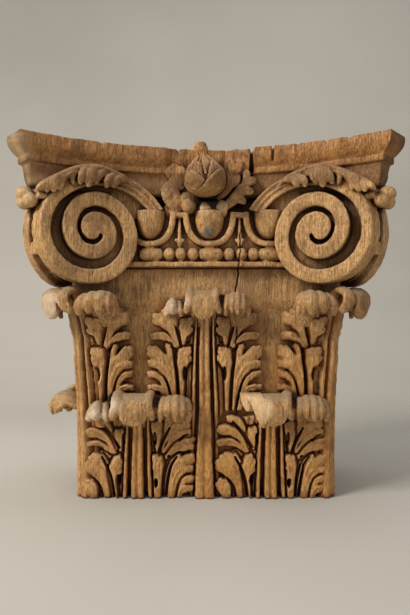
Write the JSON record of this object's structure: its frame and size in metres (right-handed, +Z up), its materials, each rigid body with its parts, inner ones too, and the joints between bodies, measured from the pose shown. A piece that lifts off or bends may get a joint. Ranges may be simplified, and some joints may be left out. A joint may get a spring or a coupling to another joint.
{
  "type": "carved pilaster capital",
  "caption": "Carved wooden pilaster capital with two rows of acanthus leaves, corner volutes, an egg-and-dart lip and a hollow-sided abacus; flat underside, top and back.",
  "frame": {"origin": "middle of the flat underside that bears on the pilaster's shaft, halfway between the carved front of the bell and the flat back", "axes": "+Z up, -Y out of the carved front, +Y into the wall through the flat back, +X to the right when facing the front"},
  "size_m": [0.415, 0.2075, 0.39],
  "materials": {
    "oak": "old carved oak, waxed long ago, dry and worn"
  },
  "bodies": {
    "root": {"capital": "oak"}
  },
  "joints": []
}
